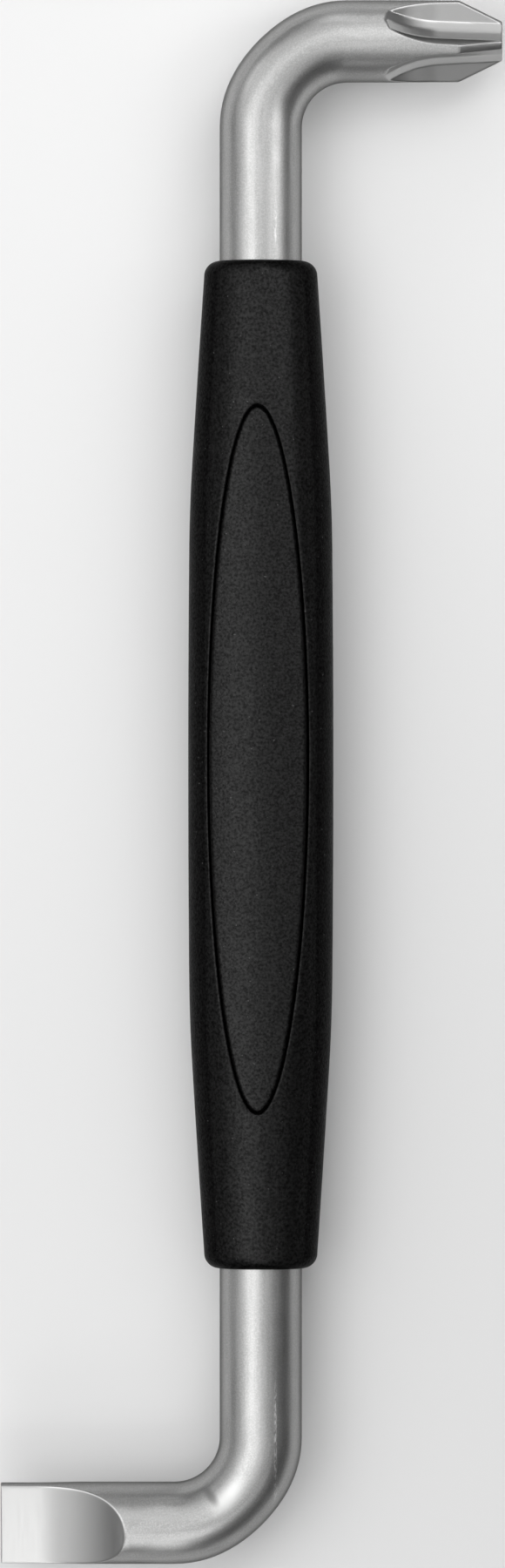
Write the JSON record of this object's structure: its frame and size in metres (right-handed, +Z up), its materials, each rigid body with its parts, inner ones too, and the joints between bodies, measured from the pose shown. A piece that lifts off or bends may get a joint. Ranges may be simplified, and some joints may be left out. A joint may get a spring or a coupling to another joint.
{
  "type": "offset screwdriver",
  "caption": "Offset screwdriver: a round steel bar bent opposite ways at its ends, with a cross point, a slotted blade and a soft black grip moulded on the middle.",
  "frame": {"origin": "on the bench that the part lies on, under the middle of the handle's length and under the bar's centre line", "axes": "+Y along the handle towards the cross point's arm, +X the way the cross point points, so the slotted blade points along -X, +Z up from the bench"},
  "size_m": [0.0488, 0.1522, 0.013],
  "materials": {
    "bar_steel": "satin nickel plate over a fine blasted grain, brighter where the points are ground",
    "core_plastic": "matte black moulding with a fine spark-eroded grain on the oval pads",
    "sleeve_rubber": "matte black soft moulding with a fine spark-eroded grain"
  },
  "bodies": {
    "root": {"shank": "bar_steel", "handle_core": "core_plastic", "grip_sleeve": "sleeve_rubber"}
  },
  "joints": []
}
